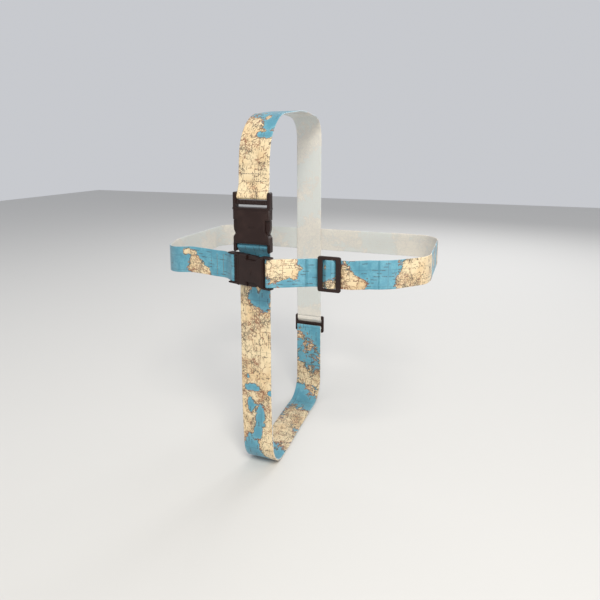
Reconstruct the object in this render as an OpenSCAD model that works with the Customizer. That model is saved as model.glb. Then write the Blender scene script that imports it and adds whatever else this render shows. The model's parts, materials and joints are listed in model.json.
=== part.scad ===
// Cross luggage strap, held in the shape it takes round a suitcase.
// +Z is up, -Y is the front, and the origin is the middle of the face the case stands on.

/* [Suitcase held by the strap] */
// Case depth, front to back
case_d = 250; // [200:5:320]
// Height of the case at its front edge, without wheels
case_h = 552; // [545:1:700]
// How far the lid line rises above the front edge
top_rise = 16; // [4:1:40]
// From the middle of the vertical strap to the left side of the case
case_left = 180; // [165:5:260]
// From the middle of the vertical strap to the right side of the case
case_right = 250; // [225:5:320]
// Radius of the case's lower edges
low_edge_r = 38; // [20:1:60]
// Radius of the case's upper edges
top_edge_r = 55; // [20:1:60]
// Radius of the case's upright edges
side_edge_r = 45; // [20:1:60]
// Depth of the slope between the front face and the sides
front_slope_d = 70; // [40:5:90]
// Width of that slope on the right
right_slope_w = 55; // [30:5:70]
// Width of that slope on the left
left_slope_w = 18; // [10:2:40]

/* [Webbing] */
// Width of the vertical strap
wide_web = 50; // [38:1:60]
// Width of the horizontal strap
narrow_web = 42; // [30:1:50]
// Thickness of the webbing
web_t = 1.5; // [1:0.1:2.2]
// Height of the crossing above the case's underside
cross_h = 327; // [260:1:334]
// Length of webbing sewn back on itself at a buckle
sewn_len = 38; // [30:1:46]

/* [Buckles] */
// Rail width beside the wide webbing
wide_rail = 4.5; // [3:0.25:7]
// Rail width beside the narrow webbing
narrow_rail = 2.5; // [2:0.25:6]
// Open length of the wide buckle's plug frame
wide_plug_len = 26; // [24:1:36]
// Length of the wide buckle's socket
wide_socket_len = 51; // [46:1:70]
// Open length of the wide buckle's tail frame
wide_tail_len = 13; // [12:0.5:20]
// Open length of the narrow buckle's plug frame
narrow_plug_len = 23; // [22:1:32]
// Length of the narrow buckle's socket
narrow_socket_len = 46; // [42:1:60]
// Open length of the narrow buckle's tail frame
narrow_tail_len = 12; // [11:0.5:18]
// Thickness of the wide buckle
wide_buckle_t = 13; // [11:0.5:16]
// Thickness of the narrow buckle
narrow_buckle_t = 11.5; // [10.5:0.5:14]
// Wall of a socket's front and back
socket_wall = 1.8; // [1.2:0.1:2.4]
// Radius of the bars that carry webbing
bar_r = 2.2; // [1.8:0.1:2.8]
// Gap below the horizontal strap's edge and the wide buckle's tail
buckle_gap = 1; // [1:0.5:12]
// Angle at which the narrow buckle stands off the case
buckle_tilt = 16; // [0:1:20]
// How far the narrow buckle's left end lies left of the vertical strap's middle
narrow_buckle_left = 36; // [34:1:45]

/* [Sliders] */
// Length of a slider along its strap
slider_len = 34; // [28:1:44]
// Thickness of a slider's frame
slider_t = 3.6; // [3:0.2:5]
// Width of a slider's two outer bars
slider_bar = 7; // [5:0.5:9]
// Width of a slider's middle bar
slider_mid = 6; // [4:0.5:8]
// Frame left beyond the webbing at each end of a slider
slider_rim = 4.5; // [3:0.5:7]
// Distance from the vertical strap's middle to the front slider's middle
front_slider_x = 118; // [112:1:125]
// Height of the rear slider's middle above the case's underside
rear_slider_z = 150; // [120:5:210]

/* [Hidden] */
$fn = 48;

plastic = [0.17, 0.12, 0.11];
sea = [0.42, 0.66, 0.74];
land = [0.90, 0.80, 0.60];
thread = [0.55, 0.50, 0.42];

loose = 0.3;                    // gap left between pieces that move past each other
side_play = 0.4;                // gap between webbing and a rail, each side
arc_step = 9;                   // degrees between points on a bent web
front_y = -case_d / 2;
back_y = case_d / 2;
half_d = case_d / 2;
left_x = -case_left;
right_x = case_right;
two_webs = 2 * web_t;
layer_gap = 0.1;                // air between the two layers of a loop
loop_mid = web_t + layer_gap / 2;
loop_out = two_webs + layer_gap;
bend_step = 15;                 // degrees between points where a web goes round a bar

// Where things stand along a buckle, from the tip of its plug frame
bar_gap = 0.6;                  // webbing on a bar to the part beside it
rib_in = 12;                    // tip of a rail to the ribbed bar
rib_w = 6.4;                    // width of the ribbed bar
rib_pitch = 5;                  // from one rib to the next
rib_r = 1;                      // radius of a rib
rib_drop = 1.2;                 // ribs' middles below the rails' front
rib_under = 2;                  // ribbed bar's underside above the rails' back
bar_drop = 0.6;                 // middle of a bar behind the middle of the buckle
plate_t = 3;                    // solid plate that closes the socket's mouth
plug_in = 6;                    // how far the plug's block reaches into the socket
side_wall = 3;                  // side wall of a socket
end_wall = 3;                   // closed end of a socket
rail_low = 1;                   // a rail lies this far above the buckle's back
rail_down = 1.6;                // and this far below its front
bay_in = 15;                    // mouth of the socket to the release bay
bay_len = 26;                   // length of a release bay
bay_deep = 7;                   // depth of a release bay
bay_ramp = 9;                   // sloping end of a release bay
edge_cut = 1.8;                 // bevel along a socket's edges
prong_root_r = 2;               // round root that a prong bends about
prong_arm = 2.8;                // width of a prong's arm
prong_in = 1;                   // a prong's arm to the socket's side wall
guide_w = 7;                    // width of the guide tongue
guide_t = 3.2;                  // thickness of the guide tongue
guide_wall = 1.6;               // walls that the tongue runs between
guide_short = 6;                // tip of the tongue to the socket's closed end
guide_free = 2;                 // from the plug's block to those walls
prong_relief = 0.9;             // room beside a prong's arm in the plug's block
button_in = 0.4;                // button's face inside the side of the buckle
button_cut = 1;                 // bevels of a button
button_top = 4;                 // flat of a button before it slopes
hook_reach = 2;                 // nose of a prong past its button's slope
hook_in = 0.6;                  // blunt end of that nose
grip = 0.5;                     // how far a bar reaches into the rails at its ends
past = 1;                       // how far a cut goes past the face that it opens

// A buckle's sizes: [web, rail, plug, socket, tail, thickness]
wide = [wide_web, wide_rail, wide_plug_len, wide_socket_len, wide_tail_len, wide_buckle_t];
narrow = [narrow_web, narrow_rail, narrow_plug_len, narrow_socket_len, narrow_tail_len,
          narrow_buckle_t];
function inner_half(b) = b[0] / 2 + side_play;
function outer_half(b) = inner_half(b) + b[1];
function mouth_x(b) = b[2];
function socket_end(b) = b[2] + b[3];
function buckle_len(b) = b[2] + b[3] + b[4];
function thick(b) = b[5];
wrap_out = bar_r + loose + web_t;
plug_bar_in = rib_in - wrap_out - bar_gap;
function tail_bar_in(b) = b[4] - wrap_out - bar_gap;
function tail_bar_x(b) = buckle_len(b) - tail_bar_in(b);
function bar_z(b) = thick(b) / 2 - bar_drop;
function prong_y(b) = outer_half(b) - side_wall - prong_in - prong_arm / 2;

// The wide buckle lies flat on the case above the crossing
wide_lift = 0.6;                // gap behind the wide buckle's back
wide_top_z = cross_h + outer_half(narrow) + buckle_gap + buckle_len(wide);
wide_back_y = front_y - web_t - wide_lift;
// The narrow buckle lies over the vertical strap
narrow_lift = 5.5;              // least gap behind its left end
edge_lift = 8.65;               // least gap behind it over the edge of the vertical webbing
edge_in = narrow_buckle_left - wide_web / 2;    // its left end to that edge
narrow_back_y = front_y - max(narrow_lift, edge_lift - edge_in * tan(buckle_tilt));
narrow_x = -narrow_buckle_left;

// Middle of a bar on the case's front, as a point in the plane of its loop
wide_plug_bar = [wide_back_y - bar_z(wide), wide_top_z - plug_bar_in];
wide_tail_bar = [wide_back_y - bar_z(wide), wide_top_z - tail_bar_x(wide)];
function on_narrow(x, z) = [
    narrow_x + x * cos(buckle_tilt) - z * sin(buckle_tilt),
    narrow_back_y - x * sin(buckle_tilt) - z * cos(buckle_tilt)
];
narrow_plug_bar = on_narrow(plug_bar_in, bar_z(narrow));
narrow_tail_bar = on_narrow(tail_bar_x(narrow), bar_z(narrow));
wrap_r = bar_r + loose + web_t / 2;

// Sliders: the webbing runs under the outer bars and over the middle one
pass_low = web_t + loose;       // underside of the web that rides with a slider
ring_low = pass_low + web_t + loose;
mid_low = ring_low;
mid_drop = 1.2;                 // middle bar below the frame's face
mid_t = slider_t - mid_drop;
pass_top = mid_low + mid_t + loose;
slider_half = slider_len / 2;
slider_corner = 3;
window_corner = 1.2;
rear_layers = web_t;            // the tail lies beneath the strap below the rear slider

// ---- paths ---------------------------------------------------------------
// The point on a line from a towards b, a distance d away
function towards(a, b, d) = a + (b - a) * (d / norm(b - a));
function heading(v) = atan2(v[1], v[0]);
function turn(a) = a > 180 ? a - 360 : (a <= -180 ? a + 360 : a);

// A corner at b between a and c, rounded to radius r
function corner(a, b, c, r) =
    let (
        sweep = turn(heading(c - b) - heading(b - a)),
        reach = r * tan(abs(sweep) / 2),
        start = towards(b, a, reach),
        side = sweep > 0 ? 90 : -90,
        first = heading(b - a) + side,
        mid = start + r * [cos(first), sin(first)],
        n = max(1, round(abs(sweep) / arc_step))
    )
    [for (i = [0:n]) mid - r * [cos(first + sweep * i / n), sin(first + sweep * i / n)]];

// Straight runs between corners, each rounded to its radius
function rounded(p, r) = [
    p[0],
    for (i = [1:1:len(p) - 2]) each corner(p[i - 1], p[i], p[i + 1], r[i - 1]),
    p[len(p) - 1]
];

// A path moved to its left by d
function left_of(p, d) = [
    for (i = [0:len(p) - 1])
        let (
            a = p[max(i - 1, 0)],
            b = p[i],
            c = p[min(i + 1, len(p) - 1)],
            u = i == 0 ? (c - b) / norm(c - b) : (b - a) / norm(b - a),
            v = i == len(p) - 1 ? u : (c - b) / norm(c - b),
            m = (u + v) / norm(u + v),
            k = 1 / (m * u)
        )
        b + d * k * [-m[1], m[0]]
];
function backwards(p) = [for (i = [len(p) - 1:-1:0]) p[i]];
function ribbon(p, low, high) = concat(left_of(p, low), backwards(left_of(p, high)));

// A web that lies double from end to close, then opens and goes round the bar at c
function looped(end, close, c) =
    let (
        there = left_of([end, close, c], loop_mid - web_t / 2),
        back = left_of([end, close, c], web_t / 2 - loop_mid),
        p = there[1],
        q = back[1],
        from = heading(p - c) - acos(wrap_r / norm(p - c)),
        to = heading(q - c) + acos(wrap_r / norm(q - c)),
        sweep = ((from - to) % 360 + 360) % 360,
        n = round(sweep / bend_step)
    )
    [
        there[0],
        p,
        for (i = [0:n])
            let (t = from - sweep * i / n)
            c + wrap_r * [cos(t), sin(t)],
        q,
        back[0]
    ];

// Outline of the case from the side, as [y, z], front edge first, then top, back and underside
crest_y = 10;                   // the lid line lies this far behind the middle
back_fall = 8;                  // and this far above the back edge
crest = [crest_y, case_h + top_rise];
v_front_low = [front_y, 0];
v_front_top = [front_y, case_h];
v_back_top = [back_y, case_h + top_rise - back_fall];
v_back_low = [back_y, 0];

// Outline of the case from above, as [x, y], from the front right going left.
// The back lies one web further out, because the vertical strap runs beneath it.
h_front_right = [right_x - right_slope_w, front_y];
h_front_left = [left_x + left_slope_w, front_y];
h_left = [left_x, front_y + front_slope_d];
h_back_left = [left_x, back_y + web_t];
h_back_right = [right_x, back_y + web_t];
h_right = [right_x, front_y + front_slope_d];
slope_r = 60;

// Places where one piece of webbing hands over to the next
plug_open = 18;                 // from a plug's bar to where its loop closes
socket_open = 12;               // the same below the wide socket, in front of the narrow buckle
flat_end = 3;                   // length that lies double before such a loop opens
past_bend = 10;                 // a web ends this far past a rounded edge
plug_sewn_z = wide_plug_bar[1] + sewn_len;
upper_end_z = case_h - top_edge_r - past_bend;
socket_sewn_z = wide_tail_bar[1] - socket_open - flat_end;
low_join_z = low_edge_r + past_bend;
rear_low_z = rear_slider_z - slider_half;
left_sewn_x = narrow_plug_bar[0] - sewn_len;
side_join_y = front_y + front_slope_d + side_edge_r;
adjuster_x = front_slider_x - slider_half - flat_end;
back_left_x = left_x + side_edge_r + past_bend;
back_right_x = right_x - side_edge_r - past_bend;
loop_y = front_y - loop_mid;

// ---- webbing ---------------------------------------------------------------
// A ribbon in the vertical loop's plane
module upright_web(p, low, high) {
    rotate([90, 0, 90])
        linear_extrude(wide_web, center = true)
            polygon(ribbon(p, low, high));
}

// A ribbon in the horizontal loop's plane
module level_web(p, low, high) {
    translate([0, 0, cross_h])
        linear_extrude(narrow_web, center = true)
            polygon(ribbon(p, low, high));
}

module plug_loop_web_wide() {
    path = looped([loop_y, plug_sewn_z], [loop_y, wide_plug_bar[1] + plug_open], wide_plug_bar);
    color(land) upright_web(path, -web_t / 2, web_t / 2);
}

module upper_front_web() {
    color(land) upright_web([[front_y, plug_sewn_z], [front_y, upper_end_z]], 0, web_t);
}

module top_front_web() {
    path = rounded([[front_y, upper_end_z], v_front_top, crest], [top_edge_r]);
    color(land) upright_web(path, 0, web_t);
}

module top_back_web() {
    path = rounded([crest, v_back_top, [back_y, upper_end_z]], [low_edge_r]);
    color(sea) upright_web(path, 0, web_t);
}

module upper_back_web() {
    color(land) upright_web([[back_y, upper_end_z], [back_y, cross_h]], 0, web_t);
}

// The strap's own end, under the rear slider
module back_web_end() {
    color(land) upright_web([[back_y, cross_h], [back_y, rear_low_z]], 0, web_t);
}

// Below the rear slider the strap is double: the tail inside, the strap outside
module lower_back_web() {
    color(sea) upright_web([[back_y, rear_low_z], [back_y, low_join_z]], web_t, two_webs);
}

// Round the case's lower edges, and flat along its underside between them
bottom_back_path = rounded([[back_y, low_join_z], v_back_low, [back_y - low_join_z, 0]],
                           [low_edge_r]);
bottom_front_path = rounded([[front_y + low_join_z, 0], v_front_low, [front_y, low_join_z]],
                            [low_edge_r]);
bottom_flat_path = [[back_y - low_join_z, 0], [front_y + low_join_z, 0]];

module bottom_back_web() {
    color(sea) upright_web(bottom_back_path, web_t, two_webs);
}

module bottom_web() {
    color(sea) upright_web(bottom_flat_path, web_t, two_webs);
}

module bottom_front_web() {
    color(sea) upright_web(bottom_front_path, web_t, two_webs);
}

module lower_front_web() {
    color(land) upright_web([[front_y, low_join_z], [front_y, socket_sewn_z]], web_t, two_webs);
}

module socket_loop_web_wide() {
    path = looped([loop_y, socket_sewn_z], [loop_y, socket_sewn_z + flat_end], wide_tail_bar);
    color(sea) upright_web(path, -web_t / 2, web_t / 2);
}

module lower_back_tail() {
    color(land) upright_web([[back_y, rear_low_z], [back_y, low_join_z]], 0, web_t);
}

module bottom_back_tail() {
    color(land) upright_web(bottom_back_path, 0, web_t);
}

module bottom_tail() {
    color(land) upright_web(bottom_flat_path, 0, web_t);
}

module bottom_front_tail() {
    color(land) upright_web(bottom_front_path, 0, web_t);
}

module lower_front_tail() {
    color(land) upright_web([[front_y, low_join_z], [front_y, socket_sewn_z]], 0, web_t);
}

module plug_loop_web_narrow() {
    path = looped([left_sewn_x, loop_y], [narrow_plug_bar[0] - plug_open, loop_y],
                  narrow_plug_bar);
    color(sea) level_web(path, -web_t / 2, web_t / 2);
}

module left_front_web() {
    path = rounded([[left_sewn_x, front_y], h_front_left, h_left, [left_x, side_join_y]],
                   [side_edge_r, slope_r]);
    color(sea) level_web(path, 0, web_t);
}

module left_side_web() {
    path = rounded([[left_x, side_join_y], h_back_left, [back_left_x, back_y + web_t]],
                   [side_edge_r]);
    color(land) level_web(path, 0, web_t);
}

module cross_back_web() {
    path = [[back_left_x, back_y + web_t], [back_right_x, back_y + web_t]];
    color(sea) level_web(path, 0, web_t);
}

module right_side_web() {
    path = rounded([[back_right_x, back_y + web_t], h_back_right, [right_x, side_join_y]],
                   [side_edge_r]);
    color(land) level_web(path, 0, web_t);
}

module right_front_web() {
    path = rounded([[right_x, side_join_y], h_right, h_front_right, [adjuster_x, front_y]],
                   [slope_r, slope_r]);
    color(sea) level_web(path, 0, web_t);
}

// From the slider round the socket's bar and back
module adjuster_web() {
    path = looped([adjuster_x, loop_y], [adjuster_x - flat_end, loop_y], narrow_tail_bar);
    color(land) level_web(path, -web_t / 2, web_t / 2);
}

// ---- sliders ---------------------------------------------------------------
// A slider lies along X with its back on z = 0 and the webbing crossing its middle bar
module plate(l, w, r, h) {
    linear_extrude(h) {
        square([l - 2 * r, w], center = true);
        square([l, w - 2 * r], center = true);
        for (x = [-1, 1], y = [-1, 1])
            translate([x * (l / 2 - r), y * (w / 2 - r)]) circle(r);
    }
}

module slider(web) {
    inside = web + 2 * side_play;
    window = (slider_len - 2 * slider_bar - slider_mid) / 2;
    difference() {
        plate(slider_len, inside + 2 * slider_rim, slider_corner, slider_t);
        for (s = [-1, 1])
            translate([s * (slider_mid + window) / 2, 0, -past])
                plate(window, inside, window_corner, slider_t + 2 * past);
        // the middle bar is thinner than the frame
        translate([-slider_mid / 2 - past, -inside / 2, mid_t])
            cube([slider_mid + 2 * past, inside, slider_t]);
    }
}

// The web inside a slider, as [along, height] points of its underside
pass_in = slider_half - slider_bar - web_t / 2;
pass_over = slider_mid / 2 + 2 * loose;  // where the web leaves the middle bar
pass_path = [
    [-slider_half, pass_low],
    [-pass_in, pass_low],
    [-pass_over, pass_top],
    [pass_over, pass_top],
    [pass_in, pass_low],
    [slider_half, pass_low]
];

module pass_web(web) {
    rotate([90, 0, 0])
        linear_extrude(web, center = true)
            polygon(ribbon(pass_path, 0, web_t));
}

module at_front_slider() {
    translate([front_slider_x, front_y, cross_h]) rotate([90, 0, 0]) children();
}

module at_rear_slider() {
    translate([0, back_y, rear_slider_z]) rotate([0, 90, 0]) rotate([-90, 0, 0]) children();
}

module front_slider() {
    color(plastic) at_front_slider() translate([0, 0, ring_low]) slider(narrow_web);
}

module front_slider_web() {
    color(sea) at_front_slider() pass_web(narrow_web);
}

module rear_slider() {
    color(plastic) at_rear_slider() translate([0, 0, ring_low + rear_layers]) slider(wide_web);
}

module rear_slider_web() {
    color(sea) at_rear_slider() translate([0, 0, rear_layers]) pass_web(wide_web);
}

// ---- buckles ---------------------------------------------------------------
// A buckle lies along X with its plug at x = 0, its back on z = 0 and its width along Y
module rails(b, from, to, tip) {
    w = b[1];
    h = thick(b) - rail_low - rail_down;
    for (s = [-1, 1])
        translate([0, s * (outer_half(b) - w / 2), rail_low]) {
            translate([from, -w / 2, 0]) cube([to - from, w, h]);
            translate([tip, 0, 0]) cylinder(r = w / 2, h = h);
        }
}

module bar(b, x) {
    translate([x, 0, bar_z(b)])
        rotate([90, 0, 0]) cylinder(r = bar_r, h = 2 * (inner_half(b) + grip), center = true);
}

// Ribs across the bar that grips the webbing
module ribbed_bar(b) {
    low = rail_low + rib_under;
    top = thick(b) - rail_down - rib_drop;
    reach = inner_half(b) + grip;
    count = floor(2 * inner_half(b) / rib_pitch);
    translate([rib_in, -reach, low]) cube([rib_w, 2 * reach, top - low]);
    for (i = [0:count - 1])
        translate([rib_in, (i - (count - 1) / 2) * rib_pitch, top])
            rotate([0, 90, 0]) cylinder(r = rib_r, h = rib_w, $fn = 24);
}

module plug_frame(b) {
    m = mouth_x(b);
    block = outer_half(b) - side_wall - loose;
    floor_z = socket_wall + loose;
    block_t = thick(b) - 2 * floor_z;
    difference() {
        union() {
            rails(b, b[1] / 2, m - plate_t / 2, b[1] / 2);
            bar(b, plug_bar_in);
            ribbed_bar(b);
            translate([m - plate_t, -outer_half(b), 0])
                cube([plate_t - loose, 2 * outer_half(b), thick(b)]);
            translate([m - plate_t, -block, floor_z])
                cube([plate_t + plug_in, 2 * block, block_t]);
            // guide tongue
            translate([m, -guide_w / 2, (thick(b) - guide_t) / 2])
                cube([b[3] - end_wall - guide_short, guide_w, guide_t]);
        }
        // seats for the two prongs' roots
        for (s = [-1, 1])
            translate([m + plug_in / 2, s * prong_y(b), -past]) {
                cylinder(r = prong_root_r + loose, h = thick(b) + 2 * past);
                translate([0, -prong_arm / 2 - prong_relief, 0])
                    cube([plug_in, prong_arm + 2 * prong_relief, thick(b) + 2 * past]);
            }
    }
}

// One springy prong, drawn on the +Y side, with its button in the release bay
module prong(b) {
    m = mouth_x(b);
    y = prong_y(b);
    out = outer_half(b) - button_in;
    shoulder = m + bay_in + loose;
    tip = m + bay_in + bay_len - button_cut;
    z = socket_wall + 2 * loose;
    translate([0, 0, z])
        linear_extrude(thick(b) - 2 * z) {
            translate([m + plug_in / 2, y]) circle(prong_root_r);
            polygon([
                [m + plug_in / 2, y - prong_arm / 2],
                [tip - bay_ramp, y - prong_arm],
                [tip + hook_reach, y - hook_in],
                [tip, y + button_cut],
                [tip - bay_ramp, out - hook_in],
                [tip - bay_ramp - button_top, out],
                [shoulder + button_cut, out],
                [shoulder, out - button_cut],
                [shoulder, y + prong_arm / 2],
                [m + plug_in / 2, y + prong_arm / 2]
            ]);
        }
}

module socket(b) {
    m = mouth_x(b);
    h = outer_half(b);
    t = thick(b);
    difference() {
        union() {
            translate([m, 0, 0])
                rotate([90, 0, 90])
                    linear_extrude(b[3])
                        polygon([
                            [-h, edge_cut], [-h + edge_cut, 0], [h - edge_cut, 0], [h, edge_cut],
                            [h, t - edge_cut], [h - edge_cut, t], [-h + edge_cut, t], [-h, t - edge_cut]
                        ]);
            rails(b, socket_end(b) - past, buckle_len(b) - b[1] / 2, buckle_len(b) - b[1] / 2);
            bar(b, tail_bar_x(b));
        }
        // the hollow that takes the plug
        translate([m - past, -h + side_wall, socket_wall])
            cube([b[3] - end_wall + past, 2 * (h - side_wall), t - 2 * socket_wall]);
        // release bays
        for (s = [0, 1])
            mirror([0, s, 0])
                translate([m + bay_in, 0, -past])
                    linear_extrude(t + 2 * past)
                        polygon([
                            [0, h + past], [0, h - bay_deep], [bay_len - bay_ramp, h - bay_deep],
                            [bay_len, h - past], [bay_len, h + past]
                        ]);
    }
    // walls that the tongue runs between
    for (s = [-1, 1])
        translate([
            m + plug_in + guide_free,
            s * (guide_w / 2 + loose + guide_wall / 2) - guide_wall / 2,
            socket_wall
        ])
            cube([b[3] - end_wall - plug_in - guide_free, guide_wall, t - 2 * socket_wall]);
}

module at_wide_buckle() {
    translate([0, wide_back_y, wide_top_z]) rotate([0, 90, 0]) rotate([90, 0, 0]) children();
}

module at_narrow_buckle() {
    translate([narrow_x, narrow_back_y, cross_h])
        rotate([0, 0, -buckle_tilt]) rotate([90, 0, 0]) children();
}

module plug_frame_wide() {
    color(plastic) at_wide_buckle() plug_frame(wide);
}

module prong_left_wide() {
    color(plastic) at_wide_buckle() mirror([0, 1, 0]) prong(wide);
}

module prong_right_wide() {
    color(plastic) at_wide_buckle() prong(wide);
}

module socket_wide() {
    color(plastic) at_wide_buckle() socket(wide);
}

module plug_frame_narrow() {
    color(plastic) at_narrow_buckle() plug_frame(narrow);
}

module prong_upper_narrow() {
    color(plastic) at_narrow_buckle() prong(narrow);
}

module prong_lower_narrow() {
    color(plastic) at_narrow_buckle() mirror([0, 1, 0]) prong(narrow);
}

module socket_narrow() {
    color(plastic) at_narrow_buckle() socket(narrow);
}

// ---- sewing ---------------------------------------------------------------
stitch_len = 2.4;
stitch_pitch = 3.4;
stitch_w = 0.8;
stitch_t = 0.5;
seam_in = 4;                    // seam to the edge of the webbing

// A row of stitches from a to b on the plane z = 0
module seam(a, b) {
    n = floor(norm(b - a) / stitch_pitch);
    for (i = [0:n - 1])
        translate(a + (b - a) * ((i + 0.5) / n))
            rotate([0, 0, heading(b - a)])
                translate([-stitch_len / 2, -stitch_w / 2, 0])
                    cube([stitch_len, stitch_w, stitch_t]);
}

// Two rows across a web, as at a loop sewn round a bar
module double_seam(web, gap) {
    y = web / 2 - seam_in;
    for (x = [0, gap]) seam([x, -y], [x, y]);
}

// A sewn square with its diagonals
module crossed_square(w, h) {
    a = [-w / 2, -h / 2];
    b = [w / 2, -h / 2];
    c = [w / 2, h / 2];
    d = [-w / 2, h / 2];
    e = stitch_pitch;
    seam(a, b);
    seam(d, c);
    seam(a + [0, e], d - [0, e]);
    seam(b + [0, e], c - [0, e]);
    seam(towards(a, c, 2 * e), towards(a, c, norm(c - a) / 2 - e));
    seam(towards(c, a, 2 * e), towards(c, a, norm(c - a) / 2 - e));
    seam(towards(b, d, 2 * e), towards(b, d, norm(c - a) / 2 - e));
    seam(towards(d, b, 2 * e), towards(d, b, norm(c - a) / 2 - e));
}

row_gap = 11;                   // between the two rows at a loop
row_in = 4;                     // from the end of the sewn webbing to the first row
module plug_loop_stitches_wide() {
    color(thread)
        translate([0, front_y - loop_out, plug_sewn_z - row_in])
            rotate([0, 90, 0]) rotate([90, 0, 0]) double_seam(wide_web, row_gap);
}

module plug_loop_stitches_narrow() {
    color(thread)
        translate([left_sewn_x + row_in, front_y - loop_out, cross_h])
            rotate([90, 0, 0]) double_seam(narrow_web, row_gap);
}

module back_cross_stitches() {
    color(thread)
        translate([0, back_y + two_webs, cross_h])
            rotate([-90, 0, 0])
                crossed_square(wide_web - 2 * seam_in, narrow_web - 2 * seam_in);
}

plug_frame_wide();
prong_left_wide();
prong_right_wide();
socket_wide();
plug_frame_narrow();
prong_upper_narrow();
prong_lower_narrow();
socket_narrow();
front_slider();
front_slider_web();
rear_slider();
rear_slider_web();
plug_loop_web_wide();
upper_front_web();
top_front_web();
top_back_web();
upper_back_web();
back_web_end();
lower_back_web();
bottom_back_web();
bottom_web();
bottom_front_web();
lower_front_web();
socket_loop_web_wide();
lower_back_tail();
bottom_back_tail();
bottom_tail();
bottom_front_tail();
lower_front_tail();
plug_loop_web_narrow();
left_front_web();
left_side_web();
cross_back_web();
right_side_web();
right_front_web();
adjuster_web();
plug_loop_stitches_wide();
plug_loop_stitches_narrow();
back_cross_stitches();
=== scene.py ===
import bpy
import bmesh
import json
import math
import numpy as np
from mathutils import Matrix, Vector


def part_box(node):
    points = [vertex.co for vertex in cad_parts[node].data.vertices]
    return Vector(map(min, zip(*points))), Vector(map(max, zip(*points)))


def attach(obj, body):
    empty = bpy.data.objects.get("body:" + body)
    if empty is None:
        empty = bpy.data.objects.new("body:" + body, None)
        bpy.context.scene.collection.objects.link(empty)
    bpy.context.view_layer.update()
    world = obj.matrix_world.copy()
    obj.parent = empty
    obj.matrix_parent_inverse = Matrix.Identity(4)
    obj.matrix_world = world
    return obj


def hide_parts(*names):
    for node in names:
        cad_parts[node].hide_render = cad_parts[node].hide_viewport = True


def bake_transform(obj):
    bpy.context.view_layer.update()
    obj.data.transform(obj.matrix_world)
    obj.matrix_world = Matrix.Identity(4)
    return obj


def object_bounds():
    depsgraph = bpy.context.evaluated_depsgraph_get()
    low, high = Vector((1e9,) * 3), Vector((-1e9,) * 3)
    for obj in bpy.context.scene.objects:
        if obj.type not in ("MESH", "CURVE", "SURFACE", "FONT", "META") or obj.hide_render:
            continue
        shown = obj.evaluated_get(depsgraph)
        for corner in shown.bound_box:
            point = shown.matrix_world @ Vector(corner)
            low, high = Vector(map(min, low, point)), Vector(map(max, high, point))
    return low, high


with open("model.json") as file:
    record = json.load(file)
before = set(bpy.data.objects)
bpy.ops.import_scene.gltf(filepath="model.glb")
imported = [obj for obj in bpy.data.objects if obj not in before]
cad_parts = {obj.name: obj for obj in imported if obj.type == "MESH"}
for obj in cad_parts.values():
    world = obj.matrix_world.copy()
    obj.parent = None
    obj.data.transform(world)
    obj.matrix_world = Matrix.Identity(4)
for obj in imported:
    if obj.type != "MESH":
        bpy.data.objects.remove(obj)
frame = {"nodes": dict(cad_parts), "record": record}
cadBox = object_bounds()
print("frame loaded")

# the route round the case, in millimetres, as the CAD has it
case = dict(front=-125, back=125, height=552, crest=(10, 568), crestRound=260, backHeight=560, left=-180,
            right=250, lowRound=38, topRound=55, sideRound=45, slopeRound=60, slopeDepth=70, slopeLeft=18,
            slopeRight=55, slopeTurn=(0.78, 0.5))
web = dict(wide=50, narrow=42, thick=1.5, gap=0.1, crossing=327)
half = web["thick"] / 2
doubled = 1.5 * web["thick"] + web["gap"]   # middle of the outer layer where a strap lies double
outerLayer = half + web["thick"]            # middle of the strap where the tail lies beneath it


def boxMm(node):
    low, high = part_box(node)
    return np.array(low) * 1000, np.array(high) * 1000


# straps as lines in the plane of their loop
def heading(v):
    return math.degrees(math.atan2(v[1], v[0]))


def arcLine(c, r, start, sweep, step=12):
    # points on a circle about c from the start angle through sweep degrees
    n = max(2, int(abs(sweep) / step) + 1)
    t = np.radians(start + sweep * np.linspace(0, 1, n))
    return c + r * np.stack([np.cos(t), np.sin(t)], 1)


def roundedLine(points, rounds, step=5):
    # straight runs between corners, each corner an arc that touches both runs
    pts = [np.array(p, float) for p in points]
    out = [pts[0][None]]
    for a, b, c, r in zip(pts[:-2], pts[1:-1], pts[2:], rounds):
        u, v = (b - a) / np.linalg.norm(b - a), (c - b) / np.linalg.norm(c - b)
        sweep = (heading(v) - heading(u) + 180) % 360 - 180
        if abs(sweep) < 0.01:
            continue
        reach = r * math.tan(math.radians(abs(sweep)) / 2)
        side = 1 if sweep > 0 else -1
        mid = b - u * reach + side * r * np.array([-u[1], u[0]])
        out.append(arcLine(mid, r, heading(u) - 90 * side, sweep, step))
    out.append(pts[-1][None])
    return np.concatenate(out)


def roundBar(p, q, c, r):
    # from p a strap touches the bar's circle, goes round it with the bar on its right, and leaves for q
    p, q, c = (np.array(x, float) for x in (p, q, c))
    start = heading(p - c) - math.degrees(math.acos(r / np.linalg.norm(p - c)))
    end = heading(q - c) + math.degrees(math.acos(r / np.linalg.norm(q - c)))
    return arcLine(c, r, start, -((start - end) % 360), 11)


def filledLine(path, most=4.0):
    # the same line with points no further apart than most, and none doubled
    keep = np.concatenate([[True], np.linalg.norm(np.diff(path, axis=0), axis=1) > 0.02])
    path = path[keep]
    parts = [path[:1]]
    for a, b in zip(path[:-1], path[1:]):
        n = max(1, math.ceil(np.linalg.norm(b - a) / most))
        parts.append(a + (b - a) * (np.arange(1, n + 1) / n)[:, None])
    return np.concatenate(parts)


def softened(path, passes=2):
    # each inner point moves halfway to the middle of its neighbours
    for _ in range(passes):
        path = np.concatenate([path[:1], path[1:-1] / 2 + (path[:-2] + path[2:]) / 4, path[-1:]])
    return path


def alongLine(path):
    return np.concatenate([[0], np.cumsum(np.linalg.norm(np.diff(path, axis=0), axis=1))])


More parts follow.
